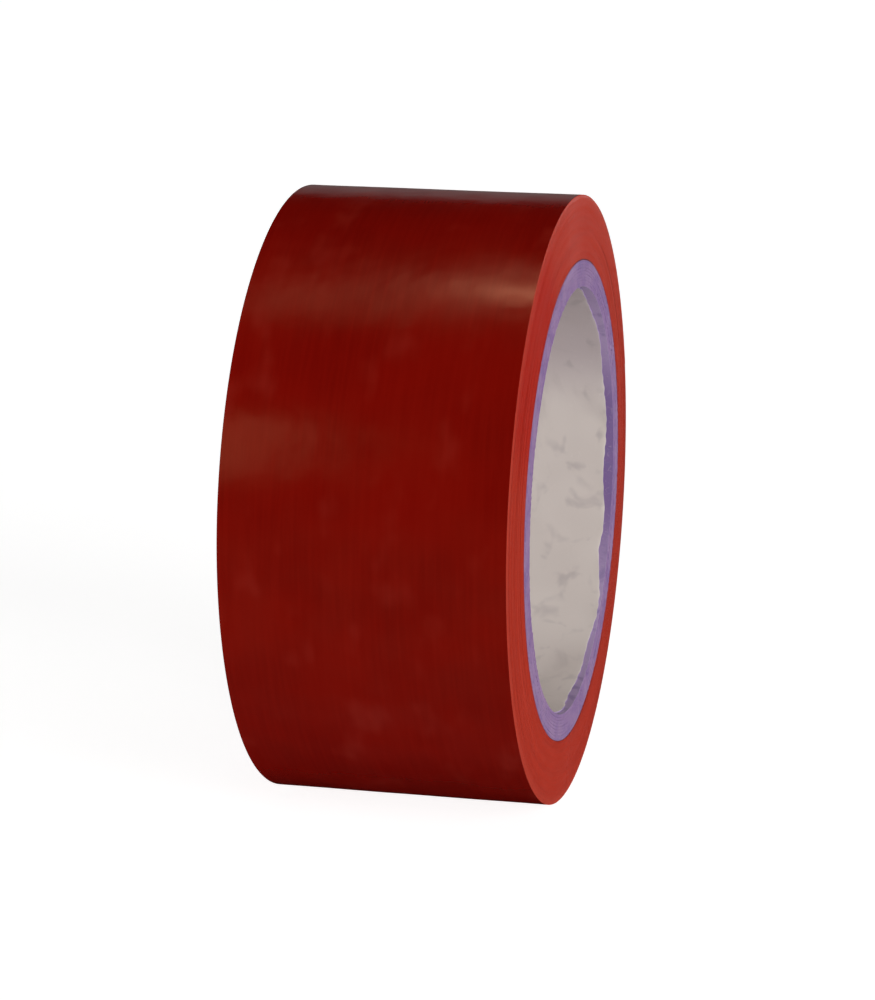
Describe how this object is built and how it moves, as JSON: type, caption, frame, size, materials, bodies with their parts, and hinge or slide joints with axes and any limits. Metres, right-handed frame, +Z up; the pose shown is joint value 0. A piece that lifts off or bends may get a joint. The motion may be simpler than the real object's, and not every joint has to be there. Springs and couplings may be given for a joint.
{
  "type": "electrical tape roll",
  "caption": "Roll of wide vinyl electrical tape on a thick spiral-wound paper core, with a free end that peels off the outer turn.",
  "frame": {"origin": "centre of the core's bore, half way along the roll's axis", "axes": "+X along the roll's axis, +Z up as the roll stands on its tread, +Y towards the back, where the free end is"},
  "size_m": [0.051, 0.1092, 0.1094],
  "materials": {
    "vinyl_film": "semi-gloss dark red vinyl",
    "adhesive": "tacky, satin",
    "core_board": "matte lavender board",
    "liner_paper": "matte grey-beige paper",
    "outer_paper": "matte, smooth"
  },
  "bodies": {
    "roll": {"core_liner_ply": "liner_paper", "core_ply_1": "core_board", "core_ply_2": "core_board", "core_ply_3": "core_board", "core_ply_4": "core_board", "core_ply_5": "core_board", "core_ply_6": "core_board", "core_ply_7": "core_board", "core_ply_8": "core_board", "core_outer_ply": "outer_paper", "wound_tape": "vinyl_film", "outer_turn": "vinyl_film"},
    "tail_1": {"tail_film_1": "vinyl_film", "tail_adhesive_1": "adhesive"},
    "tail_2": {"tail_film_2": "vinyl_film", "tail_adhesive_2": "adhesive"},
    "tail_3": {"tail_film_3": "vinyl_film", "tail_adhesive_3": "adhesive"},
    "tail_4": {"tail_film_4": "vinyl_film", "tail_adhesive_4": "adhesive"},
    "tail_5": {"tail_film_5": "vinyl_film", "tail_adhesive_5": "adhesive"}
  },
  "joints": [
    {"name": "tail_lift_1", "type": "hinge", "parent": "roll", "child": "tail_1", "pos_m": [0, 0.02055, 0.05087], "axis": [1, 0, 0], "range_deg": [0, 36]},
    {"name": "tail_lift_2", "type": "hinge", "parent": "tail_1", "child": "tail_2", "pos_m": [0, 0.02956, 0.04622], "axis": [1, 0, 0], "range_deg": [0, 36]},
    {"name": "tail_lift_3", "type": "hinge", "parent": "tail_2", "child": "tail_3", "pos_m": [0, 0.03755, 0.03999], "axis": [1, 0, 0], "range_deg": [0, 36]},
    {"name": "tail_lift_4", "type": "hinge", "parent": "tail_3", "child": "tail_4", "pos_m": [0, 0.04427, 0.0324], "axis": [1, 0, 0], "range_deg": [0, 36]},
    {"name": "tail_lift_5", "type": "hinge", "parent": "tail_4", "child": "tail_5", "pos_m": [0, 0.04947, 0.0237], "axis": [1, 0, 0], "range_deg": [0, 36]}
  ]
}
